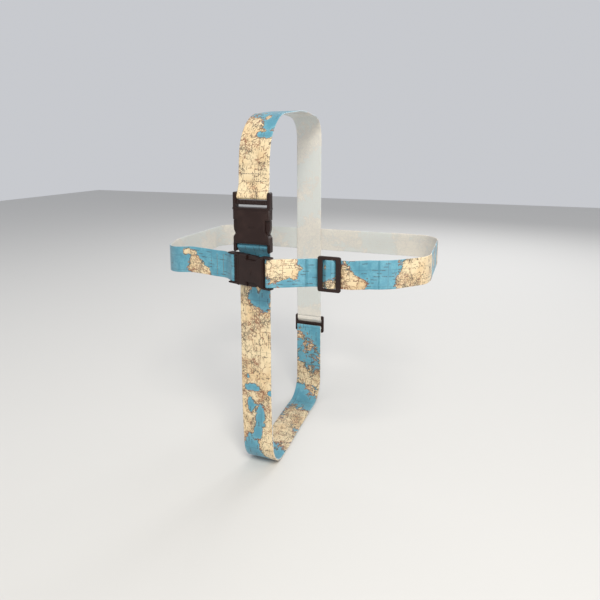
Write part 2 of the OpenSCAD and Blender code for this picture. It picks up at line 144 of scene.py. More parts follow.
def nearestOn(path, point, after=0, before=None):
    before = len(path) if before is None else before
    return after + int(np.argmin(np.linalg.norm(path[after:before] - np.array(point, float), axis=1)))


def outward(path):
    # normals on the left of the line, lengthened at corners so that a layer keeps its thickness
    d = np.diff(path, axis=0)
    d /= np.linalg.norm(d, axis=1)[:, None]
    a, b = np.concatenate([d[:1], d]), np.concatenate([d, d[-1:]])
    m = a + b
    m /= np.linalg.norm(m, axis=1)[:, None]
    return np.stack([-m[:, 1], m[:, 0]], 1) / np.clip((m * a).sum(1), 0.5, 1)[:, None]


# the vertical strap: plug loop, up the front, over, down the back, slider, under, socket loop, tail
_, wideHigh = boxMm("plug_frame_wide")
socketLow, _ = boxMm("socket_wide")
wideBuckle = dict(back=wideHigh[1], tip=wideHigh[2], tail=socketLow[2], plugIn=7.4, tailIn=8.4, barUp=5.9,
                  wrap=3.25)
plugBar = (wideBuckle["back"] - wideBuckle["barUp"], wideBuckle["tip"] - wideBuckle["plugIn"])
tailBar = (wideBuckle["back"] - wideBuckle["barUp"], wideBuckle["tail"] + wideBuckle["tailIn"])
rearLow, rearHigh = boxMm("rear_slider")
rearMid = (rearLow[2] + rearHigh[2]) / 2
sliderHalf = (rearHigh[2] - rearLow[2]) / 2
# a web in a slider, out from the case
passing = dict(low=2.55, top=7.05, inside=9.25, over=3.6, rearLift=1.5)
sewn = dict(opens=18, ends=38, fold=12, rows=(23, 34))   # a plug's sewn loop, in from its bar
# heights at which the runs of the vertical strap meet
runs = dict(front=500, back=300, leavesBack=232, meetsBack=112, foot=90, lies=320, lifts=330, loopIn=12)


def passPoints():
    p = passing
    return [(sliderHalf, p["low"]), (p["inside"], p["low"]), (p["over"], p["top"]), (-p["over"], p["top"]),
            (-p["inside"], p["low"]), (-sliderHalf, p["low"])]


# radii of the bends, one for each corner between a run's ends
bends = dict(sewn=[30, 30], rearSlider=[60, 20, 3, 3, 3, 3, 20, 40], overTail=[60, 60],
             frontSlider=[20, 12, 3, 3, 3, 3, 12])


def verticalLine():
    f, b = case["front"], case["back"]
    ends, opens = plugBar[1] + sewn["ends"], plugBar[1] + sewn["opens"]
    wrap = wideBuckle["wrap"]
    lowOpens = tailBar[1] - runs["loopIn"]
    loop = roundBar((f - half, opens), (f - doubled, opens), plugBar, wrap)
    up = roundedLine([(f - doubled, opens), (f - doubled, ends), (f - half, ends + sewn["fold"]),
                      (f - half, runs["front"])], bends["sewn"])
    over = roundedLine([(f - half, runs["front"]), (f - half, case["height"] + half),
                        (case["crest"][0], case["crest"][1] + half), (b + half, case["backHeight"] + half),
                        (b + half, runs["back"])],
                       [case["topRound"] + half, case["crestRound"], case["lowRound"] + half])
    rear = [(b + passing["rearLift"] + n, rearMid + z) for z, n in passPoints()]
    through = roundedLine([(b + half, runs["back"]), (b + half, runs["leavesBack"]), *rear,
                           (b + outerLayer, runs["meetsBack"]), (b + outerLayer, runs["foot"])],
                          bends["rearSlider"])
    outer = roundedLine([(b + outerLayer, runs["foot"]), (b + outerLayer, -outerLayer),
                         (f - outerLayer, -outerLayer), (f - outerLayer, runs["lies"]),
                         (f - doubled, runs["lifts"]), (f - doubled, lowOpens)],
                        [case["lowRound"] + outerLayer] * 2 + bends["overTail"])
    top = roundBar((f - doubled, lowOpens), (f - half, lowOpens), tailBar, wrap)
    tail = roundedLine([(f - half, lowOpens), (f - half, -half), (b + half, -half), (b + half, rearMid - 2)],
                       [case["lowRound"] + half] * 2)
    begin = [(f - half, ends), (f - half, opens)]
    line = np.concatenate([begin, loop, up, over, through, outer, top, tail])
    return softened(filledLine(line), 2)


# the horizontal strap: plug loop, left front, left, back, right, right front, slider, socket loop
narrowBuckle = dict(left=-36, back=case["front"] - 5.5, tilt=16, length=81, barIn=7.4, barUp=5.15, wrap=3.25)
frontLow, frontHigh = boxMm("front_slider")
frontMid = (frontLow[0] + frontHigh[0]) / 2


def onNarrow(x, z):
    t = math.radians(narrowBuckle["tilt"])
    return (narrowBuckle["left"] + x * math.cos(t) - z * math.sin(t),
            narrowBuckle["back"] - x * math.sin(t) - z * math.cos(t))


leftBar = onNarrow(narrowBuckle["barIn"], narrowBuckle["barUp"])
rightBar = onNarrow(narrowBuckle["length"] - narrowBuckle["barIn"], narrowBuckle["barUp"])
levelRuns = dict(left=-100, right=160, ontoSlider=157, pastSlider=3, endIn=2)   # places along X
meetX = frontMid - sliderHalf - levelRuns["pastSlider"]        # where the two layers leave the slider


def levelLine():
    f, b = case["front"], case["back"] + web["thick"]
    l, r = case["left"], case["right"]
    ends, opens = leftBar[0] - sewn["ends"], leftBar[0] - sewn["opens"]
    wrap = narrowBuckle["wrap"]
    side, slope = case["sideRound"] + half, case["slopeRound"] + half
    leftTurn, rightTurn = case["slopeTurn"]
    loop = roundBar((opens, f - half), (opens, f - doubled), leftBar, wrap)
    start = roundedLine([(opens, f - doubled), (ends, f - doubled), (ends - sewn["fold"], f - half),
                         (levelRuns["left"], f - half)], bends["sewn"])
    first = roundedLine([(levelRuns["left"], f - half), (l + case["slopeLeft"] - half * leftTurn, f - half),
                         (l - half, f + case["slopeDepth"]), (l - half, b + half), (r + half, b + half),
                         (r + half, f + case["slopeDepth"]),
                         (r - case["slopeRight"] + half * rightTurn, f - half),
                         (levelRuns["right"], f - half)], [side, slope, side, side, slope, slope])
    loopX = meetX - levelRuns["pastSlider"]
    inSlider = [(frontMid + x, f - n) for x, n in passPoints()]
    through = roundedLine([(levelRuns["right"], f - half), (levelRuns["ontoSlider"], f - half), *inSlider,
                           (loopX, f - doubled)], bends["frontSlider"])
    loopRight = roundBar((loopX, f - doubled), (loopX, f - half), rightBar, wrap)
    end = np.array([(loopX, f - half), (frontMid - levelRuns["endIn"], f - half)])
    begin = [(ends, f - half), (opens, f - half)]
    line = np.concatenate([begin, loop, start, first, through, loopRight, end])
    return softened(filledLine(line), 2)


verticalPath = verticalLine()
levelPath = levelLine()
print("strap lines:", len(verticalPath), len(levelPath), "points")

# webbing as a closed ribbon with a raised selvedge along both edges
ribbon = dict(across=20, edge=3, selvedge=0.09, selvedgeIn=1.5, selvedgeWide=0.8, corner=0.5)


def webSection(width, thick):
    # a rounded flat outline: the outer face, one edge, the inner face and the other edge
    corner = ribbon["corner"]
    u = np.linspace(-1, 1, ribbon["across"]) * (width / 2 - corner)
    offSelvedge = (np.abs(u) - (width / 2 - ribbon["selvedgeIn"])) / ribbon["selvedgeWide"]
    lip = ribbon["selvedge"] * np.exp(-offSelvedge ** 2)
    h = thick / 2 - ribbon["selvedge"] + lip
    t = np.radians(np.linspace(90, -90, ribbon["edge"] + 2)[1:-1])
    eu, eh = width / 2 - corner + corner * np.cos(t), h[-1] * np.sin(t)
    across = np.concatenate([u, eu, u[::-1], -eu])
    height = np.concatenate([h, eh, -h[::-1], -eh])
    turn = 0.5 * np.sin(t)
    printed = np.concatenate([np.ones(len(u)), 0.5 + turn, np.zeros(len(u)), 0.5 - turn])
    return across, height, printed


def addObject(name, data):
    obj = bpy.data.objects.new(name, data)
    bpy.context.scene.collection.objects.link(obj)
    return obj


def meshFrom(name, verts, quads, ends=()):
    mesh = bpy.data.meshes.new(name)
    mesh.from_pydata((np.asarray(verts) * 0.001).tolist(), [], quads.tolist() + [list(e) for e in ends])
    mesh.update()
    return addObject(name, mesh)


def smoothShaded(mesh):
    mesh.polygons.foreach_set("use_smooth", np.ones(len(mesh.polygons), bool))


def settleNormals(mesh):
    bm = bmesh.new()
    bm.from_mesh(mesh)
    bmesh.ops.recalc_face_normals(bm, faces=bm.faces)
    bm.to_mesh(mesh)
    bm.free()


def gridQuads(rows, cols):
    # quads of a tube of rows rings with cols points each, closed round each ring
    i, j = np.meshgrid(np.arange(rows - 1), np.arange(cols), indexing="ij")
    k = (j + 1) % cols
    return np.stack([i * cols + j, i * cols + k, (i + 1) * cols + k, (i + 1) * cols + j], -1).reshape(-1, 4)


def faceAttribute(obj, name, values):
    a = obj.data.attributes.new(name, "FLOAT", "POINT")
    a.data.foreach_set("value", np.asarray(values, np.float32).ravel())


def webPiece(name, line, first, last, plane, width, shift, printAt, material):
    # A strap from one point of its line to another: the flat outline is carried along the line,
    # standing on the line's normal, and slides sideways by shift(point on the line).
    s = alongLine(line)[first:last + 1]
    p, n = line[first:last + 1], outward(line)[first:last + 1]
    u, h, printed = webSection(width, web["thick"])
    flat = p[:, None] + n[:, None] * h[None, :, None]
    across = shift(p)[:, None] + u[None]
    if plane == "upright":
        verts = np.stack([across, flat[..., 0], flat[..., 1]], -1)
    else:
        verts = np.stack([flat[..., 0], flat[..., 1], web["crossing"] + across], -1)
    rows, cols = verts.shape[:2]
    quads = gridQuads(rows, cols)
    if plane == "upright":
        quads = quads[:, ::-1]
    ends = [list(range(cols)), list(range((rows - 1) * cols, rows * cols))]
    ends[0 if plane == "level" else 1].reverse()
    obj = meshFrom(name, verts.reshape(-1, 3), quads, ends)
    faceAttribute(obj, "land", printAt(s, u))
    faceAttribute(obj, "printed", np.broadcast_to(printed, (rows, cols)))
    uv = obj.data.uv_layers.new(name="Webbing")
    index = np.zeros(len(obj.data.loops), np.int64)
    obj.data.loops.foreach_get("vertex_index", index)
    place = np.stack([np.broadcast_to(u, (rows, cols)), np.broadcast_to(s[:, None], (rows, cols))], -1)
    uv.data.foreach_set("uv", (place.reshape(-1, 2)[index] * 0.001).astype(np.float32).ravel())
    smoothShaded(obj.data)
    obj.data.materials.append(material)
    return obj


# where the print shows land: (along, across, half length, half width, strength) in millimetres
verticalPrint = dict(
    upperBase=0.9, lowerBase=0.85, upperSpan=(340, 690), lowerSpan=(-60, 326), loopSpan=(326, 380),
    upper=[(642, 0, 62, 60, -2.6), (562, 19, 24, 12, -2.2), (563, 9, 7, 5, 1.8), (526, 14, 4, 13, -1.9),
           (590, -14, 12, 9, 0.9)],
    lower=[(285, 12, 22, 14, -2.0), (277, -4, 10, 10, -0.9), (296, 7, 14, 4, 1.5), (132, -7, 6, 11, -1.8),
           (150, -14, 4, 3, -1.5), (126, 24, 5, 5, -1.5), (103, -10, 12, 5, -1.8), (86, 6, 16, 7, -2.0),
           (58, 0, 12, 6, -1.9), (34, -14, 14, 8, -1.6), (-8, -6, 34, 24, -2.4), (18, 17, 26, 9, 1.6)])
levelPrint = dict(
    base=-0.8, leftSpan=(-370, 0), rightSpan=(0, 350),
    left=[(-100, -12, 18, 10, 1.5), (-90, -17, 9, 6, 1.2), (-118, 14, 12, 4.5, 1.3), (-106, 3, 7, 8, 1.3),
          (-210, 6, 26, 20, 1.4), (-330, -8, 34, 22, 1.3)],
    right=[(44, 6, 20, 20, 2.2), (50, -14, 10, 5, -1.8), (122, -16, 17, 9, 1.3), (110, 10, 3, 4, 1.0),
           (141, -4, 10, 15, 1.8), (156, -14, 14, 9, 1.7), (268, 0, 36, 30, 2.3), (236, -12, 16, 11, 1.9),
           (236, 14, 7, 4, 1.5), (360, 4, 22, 18, 1.4)])


def patchField(patches, w, u, base):
    # each patch adds its strength times a flat-topped bump exp(-(r^3)), r its elliptical distance
    spread = 1.25
    f = np.full(np.broadcast(w, u).shape, float(base))
    for w0, u0, rw, ru, strength in patches:
        r = np.sqrt(((w - w0) / (spread * rw)) ** 2 + ((u - u0) / (spread * ru)) ** 2)
        f = f + strength * np.exp(-r ** 3)
    return f


def between(w, span, fade=4):
    # one inside the span and nothing outside: a rising logistic curve times a falling one
    return 1 / (1 + np.exp(-(w - span[0]) / fade)) * 1 / (1 + np.exp((w - span[1]) / fade))


def driftField(w, u):
    # slow waves along the strap, for the parts behind and below
    return (0.55 * np.sin(w / 31 + 0.6 * np.sin(w / 57)) + 0.4 * np.sin(w / 13.7 + u / 17 + 1.3)
            + 0.3 * np.sin(w / 47 - u / 23 + 2.1))


verticalAlong = alongLine(verticalPath)
levelAlong = alongLine(levelPath)
lowerMark = 200     # a height on the front's lower run
frontUp = verticalAlong[nearestOn(verticalPath, (case["front"] - half, runs["front"]))]
onLower = nearestOn(verticalPath, (case["front"] - outerLayer, lowerMark), len(verticalPath) // 3)
frontDown = verticalAlong[onLower]
levelLeft = levelAlong[nearestOn(levelPath, (levelRuns["left"], case["front"] - half))]
onRight = nearestOn(levelPath, (levelRuns["right"], case["front"] - half), len(levelPath) // 3)
levelRight = levelAlong[onRight]


def verticalLand(s, u):
    s, u = s[:, None], u[None]
    up, down = s - frontUp + runs["front"], s - frontDown + lowerMark
    upper = patchField(verticalPrint["upper"], up, u, verticalPrint["upperBase"])
    lower = patchField(verticalPrint["lower"], down, u, verticalPrint["lowerBase"])
    a, b = between(up, verticalPrint["upperSpan"]), between(down, verticalPrint["lowerSpan"])
    loop = between(down, verticalPrint["loopSpan"])
    return upper * a + lower * b - loop + driftField(s, u) * (1 - a) * (1 - b) * (1 - loop)


def levelLand(s, u):
    s, u = s[:, None], u[None]
    left, right = -(s - levelLeft) + levelRuns["left"], -(s - levelRight) + levelRuns["right"]
    a, b = between(left, levelPrint["leftSpan"]), between(right, levelPrint["rightSpan"])
    onLeft = patchField(levelPrint["left"], left, u, levelPrint["base"])
    onRight = patchField(levelPrint["right"], right, u, levelPrint["base"])
    return onLeft * a + onRight * b + driftField(s, u) * (1 - a) * (1 - b)


# shader helpers
def setInputs(tree, node, values):
    for key, value in values.items():
        if isinstance(value, bpy.types.NodeSocket):
            tree.links.new(value, node.inputs[key])
        else:
            node.inputs[key].default_value = value


def put(tree, kind, inputs=None, **settings):
    n = tree.nodes.new(kind)
    for key, value in settings.items():
        setattr(n, key, value)
    setInputs(tree, n, inputs or {})
    return n


def calc(tree, operation, a, b=None, c=None, clamp=False):
    given = {i: v for i, v in enumerate((a, b, c)) if v is not None}
    return put(tree, "ShaderNodeMath", given, operation=operation, use_clamp=clamp).outputs[0]


def ramp(tree, value, low, high, toLow=0.0, toHigh=1.0):
    values = {"Value": value, "From Min": low, "From Max": high, "To Min": toLow, "To Max": toHigh}
    return put(tree, "ShaderNodeMapRange", values, interpolation_type="SMOOTHSTEP").outputs[0]


def blendColour(tree, share, a, b, mode="MIX"):
    return put(tree, "ShaderNodeMix", {0: share, 6: a, 7: b}, data_type="RGBA", blend_type=mode).outputs[2]


def newGroup(name, inputs, outputs):
    tree = bpy.data.node_groups.new(name, "ShaderNodeTree")
    for label, kind, value in inputs:
        s = tree.interface.new_socket(label, in_out="INPUT", socket_type=kind)
        if value is not None:
            s.default_value = value
    for label, kind in outputs:
        tree.interface.new_socket(label, in_out="OUTPUT", socket_type=kind)
    return tree, tree.nodes.new("NodeGroupInput"), tree.nodes.new("NodeGroupOutput")


def noise(tree, vector, scale, detail=2.0, rough=0.5, output=0, warp=0.0):
    values = {"Vector": vector, "Scale": scale, "Detail": detail, "Roughness": rough, "Distortion": warp}
    return put(tree, "ShaderNodeTexNoise", values).outputs[output]


def arithmetic(tree):
    return [lambda x, y, kind=kind: calc(tree, kind, x, y) for kind in ("ADD", "SUBTRACT", "MULTIPLY")]


tapeLook = dict(ribPitch=1.5, threadPitch=1.0, fuzz=dict(scale=1400, detail=3, rough=0.7), fuzzShare=0.25,
                threadShare=0.6, shade=(0.78, 1.0))


def weaveGroup():
    # Ribs along the strap, each a row of short threads that start half a pitch later than the next rib's.
    sockets = [("Place", "NodeSocketVector", None), ("Rib Pitch", "NodeSocketFloat", tapeLook["ribPitch"]),
               ("Thread Pitch", "NodeSocketFloat", tapeLook["threadPitch"])]
    given = [("Height", "NodeSocketFloat"), ("Shade", "NodeSocketFloat")]
    tree, gin, gout = newGroup("wovenTape", sockets, given)
    plus, _, times = arithmetic(tree)
    wave = lambda x: calc(tree, "ABSOLUTE", calc(tree, "SINE", times(x, math.pi)))
    xyz = put(tree, "ShaderNodeSeparateXYZ", {0: gin.outputs["Place"]})
    u = calc(tree, "DIVIDE", times(xyz.outputs[0], 1000), gin.outputs["Rib Pitch"])
    v = calc(tree, "DIVIDE", times(xyz.outputs[1], 1000), gin.outputs["Thread Pitch"])
    v = plus(v, times(calc(tree, "FLOOR", u), 0.5))
    fuzz = noise(tree, gin.outputs["Place"], **tapeLook["fuzz"])
    threads = plus(times(wave(v), tapeLook["threadShare"]), 1 - tapeLook["threadShare"])
    height = times(calc(tree, "POWER", wave(u), 0.5), threads)
    height = plus(height, times(fuzz, tapeLook["fuzzShare"]))
    # Shade is painted shade: the colour is darker where the weave is low, in the grooves between threads
    setInputs(tree, gout, {"Height": height, "Shade": ramp(tree, height, 0.05, 0.85, *tapeLook["shade"])})
    return tree


# sizes of the noises in waves to the metre; pairs are the values between which a band fades in
mapLook = dict(
    coast=dict(scale=80, detail=8, rough=0.66, warp=0.5), coastSize=3.6,
    crumbs=dict(scale=330, detail=5, rough=0.7), crumbSize=1.7,
    edge=(-0.02, 0.02), nearShore=(0.85, 0.15), shoreLine=(0.17, 0.06), shallows=(-1.1, -0.1),
    upland=dict(scale=26), uplandBand=(0.42, 0.62),
    relief=dict(scale=95, detail=6, rough=0.64, warp=1.0), contours=5.0, contourLine=(0.13, 0.07),
    hills=dict(scale=30), hillBand=(0.49, 0.56), hillsOnShore=0.8,
    fine=dict(scale=170, detail=4, rough=0.62, warp=1.5), fineLine=(0.030, 0.016), fineShare=0.95,
    wander=dict(scale=110, detail=4, rough=0.6), wanderBy=0.011, cells=62.0, borderLine=(0.044, 0.018),
    gaps=dict(scale=160, detail=1), gapBand=(0.40, 0.48),
    marks=(3.3, 7.7, 0.52, 0.44), markPatches=dict(scale=40, detail=1), markBand=(0.36, 0.46),
    seaMarks=(4.6, 11.0, 0.80, 0.42), markLine=(0.17, 0.10), markStep=0.37,
    breaks=dict(scale=1000, detail=1), breakAbove=0.44,
    gridAlong=(41.0, 0.1, 0.010), gridAcross=(24.0, 0.2, 0.014),
    redInk=dict(scale=75), redBand=(0.44, 0.56),
    share=dict(hills=0.92, borders=0.75, marks=0.85, seaMarks=0.75, grid=0.42, shore=0.92))


def mapGroup():
    # Land where the field plus ragged noise is above zero; coasts, rivers and hills are thin bands of noise
    # contours, borders are the edges of wandering cells, and short marks sit in a grid of cells.
    k = mapLook
    sockets = [("Place", "NodeSocketVector", None), ("Land", "NodeSocketFloat", 0.0)]
    sockets += [(label, "NodeSocketColor", colour) for label, colour in printColours.items()]
    tree, gin, gout = newGroup("mapPrint", sockets, [("Colour", "NodeSocketColor")])
    place = gin.outputs["Place"]
    plus, minus, times = arithmetic(tree)
    most = lambda x, y: calc(tree, "MAXIMUM", x, y)
    offMiddle = lambda x: calc(tree, "ABSOLUTE", minus(x, 0.5))
    ragged = noise(tree, place, **k["coast"])
    crumbs = noise(tree, place, **k["crumbs"])
    rough = plus(times(minus(ragged, 0.5), k["coastSize"]), times(minus(crumbs, 0.5), k["crumbSize"]))
    field = plus(gin.outputs["Land"], rough)
    landShare = ramp(tree, field, *k["edge"])
    offShore = calc(tree, "ABSOLUTE", field)
    nearShore = ramp(tree, offShore, *k["nearShore"])
    shoreLine = ramp(tree, offShore, *k["shoreLine"])
    # water is paler near the shore
    shallow = ramp(tree, field, *k["shallows"])
    water = blendColour(tree, shallow, gin.outputs["Sea"], gin.outputs["Shore Water"])
    ground = blendColour(tree, ramp(tree, noise(tree, place, **k["upland"]), *k["uplandBand"]),
                         gin.outputs["Plain"], gin.outputs["Upland"])
    # hills: winding contours, dense in some places and near the shore, absent in others
    relief = noise(tree, place, **k["relief"])
    contour = offMiddle(calc(tree, "FRACT", times(relief, k["contours"])))
    inland = ramp(tree, noise(tree, place, **k["hills"]), *k["hillBand"])
    busy = most(inland, times(nearShore, k["hillsOnShore"]))
    winding = times(ramp(tree, contour, *k["contourLine"]), busy)
    fine = offMiddle(noise(tree, place, **k["fine"]))
    winding = most(winding, times(times(ramp(tree, fine, *k["fineLine"]), busy), k["fineShare"]))
    # borders, the edges of wandering cells
    push = {0: noise(tree, place, output=1, **k["wander"]), "Scale": k["wanderBy"]}
    push = put(tree, "ShaderNodeVectorMath", push, operation="SCALE").outputs[0]
    wander = put(tree, "ShaderNodeVectorMath", {0: place, 1: push}, operation="ADD").outputs[0]
    cells = {"Vector": wander, "Scale": k["cells"]}
    cells = put(tree, "ShaderNodeTexVoronoi", cells, feature="DISTANCE_TO_EDGE")
    gaps = ramp(tree, noise(tree, place, **k["gaps"]), *k["gapBand"])
    borders = times(ramp(tree, cells.outputs["Distance"], *k["borderLine"]), gaps)
    xyz = put(tree, "ShaderNodeSeparateXYZ", {0: place})
    u, v = times(xyz.outputs[0], 1000), times(xyz.outputs[1], 1000)

    # short dashes that run along the strap, one to a cell where a random number allows it
    def dashes(acrossPitch, alongPitch, least, size):
        cu, cv = calc(tree, "DIVIDE", u, acrossPitch), calc(tree, "DIVIDE", v, alongPitch)
        cv = plus(cv, times(calc(tree, "FLOOR", cu), k["markStep"]))
        cell = put(tree, "ShaderNodeCombineXYZ", {0: calc(tree, "FLOOR", cu), 1: calc(tree, "FLOOR", cv)})
        pick = put(tree, "ShaderNodeTexWhiteNoise", {"Vector": cell.outputs[0]}, noise_dimensions="3D")
        fu, fv = offMiddle(calc(tree, "FRACT", cu)), offMiddle(calc(tree, "FRACT", cv))
        inside = calc(tree, "LESS_THAN", fv, times(pick.outputs["Value"], size))
        shape = times(ramp(tree, fu, *k["markLine"]), inside)
        broken = calc(tree, "GREATER_THAN", noise(tree, place, **k["breaks"]), k["breakAbove"])
        return times(times(shape, broken), calc(tree, "GREATER_THAN", pick.outputs["Value"], least))

    def ruled(x, pitch, offset, width):
        f = calc(tree, "FRACT", plus(calc(tree, "DIVIDE", x, pitch), offset))
        return ramp(tree, offMiddle(f), width, width / 2)

    share, ink = k["share"], gin.outputs["Ink"]
    marks = times(dashes(*k["marks"]), ramp(tree, noise(tree, place, **k["markPatches"]), *k["markBand"]))
    seaMarks = dashes(*k["seaMarks"])
    grid = times(most(ruled(v, *k["gridAlong"]), ruled(u, *k["gridAcross"])), share["grid"])
    hills = blendColour(tree, ramp(tree, noise(tree, place, **k["redInk"]), *k["redBand"]), ink,
                        gin.outputs["Red Ink"])
    lines = most(times(winding, share["hills"]), times(borders, share["borders"]))
    ground = blendColour(tree, lines, ground, hills)
    ground = blendColour(tree, times(marks, share["marks"]), ground, ink)
    water = blendColour(tree, times(seaMarks, share["seaMarks"]), water, ink)
    colour = blendColour(tree, landShare, water, ground)
    colour = blendColour(tree, grid, colour, ink)
    colour = blendColour(tree, times(shoreLine, share["shore"]), colour, hills)
    setInputs(tree, gout, {"Colour": colour})
    return tree


def grainGroup():
    # Fine moulded grain with a slow mottle and a few long scratches.
    k = grainLook
    sockets = [("Place", "NodeSocketVector", None), ("Grain Scale", "NodeSocketFloat", k["grain"])]
    sockets += [(label, "NodeSocketColor", colour) for label, colour in plasticColours.items()]
    given = [("Colour", "NodeSocketColor"), ("Roughness", "NodeSocketFloat"), ("Height", "NodeSocketFloat")]
    tree, gin, gout = newGroup("mouldedGrain", sockets, given)
    plus, minus, times = arithmetic(tree)
    place = gin.outputs["Place"]
    fine = noise(tree, place, gin.outputs["Grain Scale"], 2, 0.6)
    mottle = noise(tree, place, **k["mottle"])
    stretched = put(tree, "ShaderNodeVectorMath", {0: place, 1: k["stretch"]}, operation="MULTIPLY")
    scratch = ramp(tree, noise(tree, stretched.outputs[0], 1.0, 2, 0.6), *k["scratchBand"])
    rubbed = times(ramp(tree, mottle, *k["wornBand"]), k["mottleWear"])
    worn = calc(tree, "ADD", rubbed, times(scratch, k["scratchWear"]), clamp=True)
    sheen = ramp(tree, plus(mottle, times(fine, 0.3)), 0.4, 0.9, *k["roughness"])
    colour = blendColour(tree, worn, gin.outputs["Dark"], gin.outputs["Worn"])
    height = minus(fine, times(scratch, k["scratchDepth"]))
    setInputs(tree, gout, {"Colour": colour, "Roughness": sheen, "Height": height})
    return tree


printColours = {"Sea": (0.070, 0.255, 0.345, 1), "Shore Water": (0.115, 0.34, 0.43, 1),
                "Plain": (0.73, 0.595, 0.375, 1), "Upland": (0.67, 0.50, 0.285, 1),
                "Ink": (0.035, 0.018, 0.012, 1), "Red Ink": (0.17, 0.042, 0.012, 1)}
plasticColours = {"Dark": (0.0165, 0.0068, 0.0052, 1), "Worn": (0.033, 0.016, 0.0125, 1)}
grainLook = dict(grain=2500.0, mottle=dict(scale=45, detail=4, rough=0.6), stretch=(900.0, 900.0, 60.0),
                 scratchBand=(0.66, 0.72), wornBand=(0.45, 0.75), mottleWear=0.5, scratchWear=0.35,
                 roughness=(0.36, 0.54), scratchDepth=0.6)
woven, mapPrint, moulded = weaveGroup(), mapGroup(), grainGroup()


def startMaterial(name):
    m = bpy.data.materials.new(name)
    m.use_nodes = True
    tree = m.node_tree
    return m, tree, tree.nodes["Principled BSDF"]


webbingLook = dict(ghost=0.14, undyed=(0.62, 0.61, 0.57, 1), roughness=(0.36, 0.5), specular=0.6, sheen=0.12,
                   sheenRoughness=0.45, creaseStrength=0.25, creaseDepth=0.0016, weaveStrength=0.55,
                   weaveDepth=0.00022)


def webbingMaterial():
    k = webbingLook
    m, tree, shader = startMaterial("printedWebbing")
    place = put(tree, "ShaderNodeUVMap", uv_map="Webbing").outputs[0]
    land = put(tree, "ShaderNodeAttribute", attribute_name="land").outputs["Fac"]
    outer = put(tree, "ShaderNodeAttribute", attribute_name="printed").outputs["Fac"]
    art = put(tree, "ShaderNodeGroup", node_tree=mapPrint)
    setInputs(tree, art, {"Place": place, "Land": land})
    weave = put(tree, "ShaderNodeGroup", node_tree=woven)
    setInputs(tree, weave, {"Place": place})
    # the back of the tape is undyed, with a ghost of the print
    ghost = blendColour(tree, k["ghost"], k["undyed"], art.outputs["Colour"])
    colour = blendColour(tree, outer, ghost, art.outputs["Colour"])
    # painted shade: the weave's grooves darken the print colour
    colour = blendColour(tree, 1.0, colour, weave.outputs["Shade"], "MULTIPLY")
    roughness = ramp(tree, noise(tree, place, 60, 3), 0.3, 0.7, *k["roughness"])
    soft = put(tree, "ShaderNodeBump", {"Strength": k["creaseStrength"], "Distance": k["creaseDepth"],
                                        "Height": noise(tree, place, 38, 3, 0.5)})
    bump = put(tree, "ShaderNodeBump", {"Strength": k["weaveStrength"], "Distance": k["weaveDepth"],
                                        "Height": weave.outputs["Height"], "Normal": soft.outputs[0]})
    setInputs(tree, shader, {"Base Color": colour, "Roughness": roughness, "Normal": bump.outputs[0],
                             "Sheen Weight": k["sheen"], "Sheen Roughness": k["sheenRoughness"],
                             "Specular IOR Level": k["specular"]})
    return m


plasticLook = dict(specular=0.3, grainStrength=0.3, grainDepth=0.00012)


def plasticMaterial():
    m, tree, shader = startMaterial("bucklePlastic")
    place = put(tree, "ShaderNodeTexCoord").outputs["Object"]
    g = put(tree, "ShaderNodeGroup", node_tree=moulded)
    setInputs(tree, g, {"Place": place})
    bump = put(tree, "ShaderNodeBump", {"Strength": plasticLook["grainStrength"],
                                        "Distance": plasticLook["grainDepth"], "Height": g.outputs["Height"]})
    setInputs(tree, shader, {"Base Color": g.outputs["Colour"], "Roughness": g.outputs["Roughness"],
                             "Normal": bump.outputs[0], "Specular IOR Level": plasticLook["specular"]})
    return m


threadLook = dict(twist=900.0, wobble=2.0, dark=(0.10, 0.085, 0.07, 1), light=(0.26, 0.22, 0.17, 1),
                  roughness=(0.5, 0.75), strength=0.4, depth=0.0001, sheen=0.2)


def threadMaterial():
    k = threadLook
    m, tree, shader = startMaterial("sewingThread")
    place = put(tree, "ShaderNodeTexCoord").outputs["Object"]
    twist = put(tree, "ShaderNodeTexWave", {"Vector": place, "Scale": k["twist"], "Distortion": k["wobble"]},
                bands_direction="DIAGONAL").outputs["Fac"]
    bump = put(tree, "ShaderNodeBump", {"Strength": k["strength"], "Distance": k["depth"], "Height": twist})
    setInputs(tree, shader, {"Base Color": blendColour(tree, twist, k["dark"], k["light"]),
                             "Roughness": ramp(tree, twist, 0, 1, *k["roughness"]),
                             "Normal": bump.outputs[0], "Sheen Weight": k["sheen"]})
    return m


tape, plastic, thread = webbingMaterial(), plasticMaterial(), threadMaterial()
print("materials ready")

# the straps' own small shifts to the side
lean = dict(top=6.0, topFrom=480, topOver=90, topBack=110, topFade=150,
            bottom=3.0, bottomFrom=120, bottomBack=60, bottomFade=120)
sag = dict(at=[-190, -160, -110, -75, -40, 150, 175, 250], by=[-3, -1, 3.5, 1.5, 0, 0, 3, 3], frontFrom=-60,
           fade=60)


def ease(t):
    return t * t * (3 - 2 * t)


def verticalShift(p):
    # leans a little to the right over the top and round the bottom, nothing at buckles and slider
    k = lean
    z, y = p[:, 1], p[:, 0]
    high = np.clip((z - k["topFrom"]) / k["topOver"], 0, 1) * (y < k["topBack"])
    low = np.clip((k["bottomFrom"] - z) / k["bottomFrom"], 0, 1) * (y < k["bottomBack"])
    atTop = k["top"] * ease(high) * np.clip((k["topBack"] - y) / k["topFade"], 0, 1)
    return atTop + k["bottom"] * ease(low) * np.clip((k["bottomBack"] - y) / k["bottomFade"], 0, 1)


def levelShift(p):
    # rises and dips along the front, nothing at the buckle and the back
    x, y = p[:, 0], p[:, 1]
    front = np.clip((sag["frontFrom"] - y) / sag["fade"], 0, 1)
    return np.interp(x, sag["at"], sag["by"]) * front


# places where one piece of webbing ends and the next begins
cuts = dict(pastCrest=30, underCrest=1, rearTop=240, rearFoot=60, rightFront=190, byBuckle=84, outerLeg=10,
            innerLeg=7, loopTop=3.2)
rearPass = case["back"] + passing["rearLift"] + passing["low"]
frontPass = case["front"] - passing["low"]

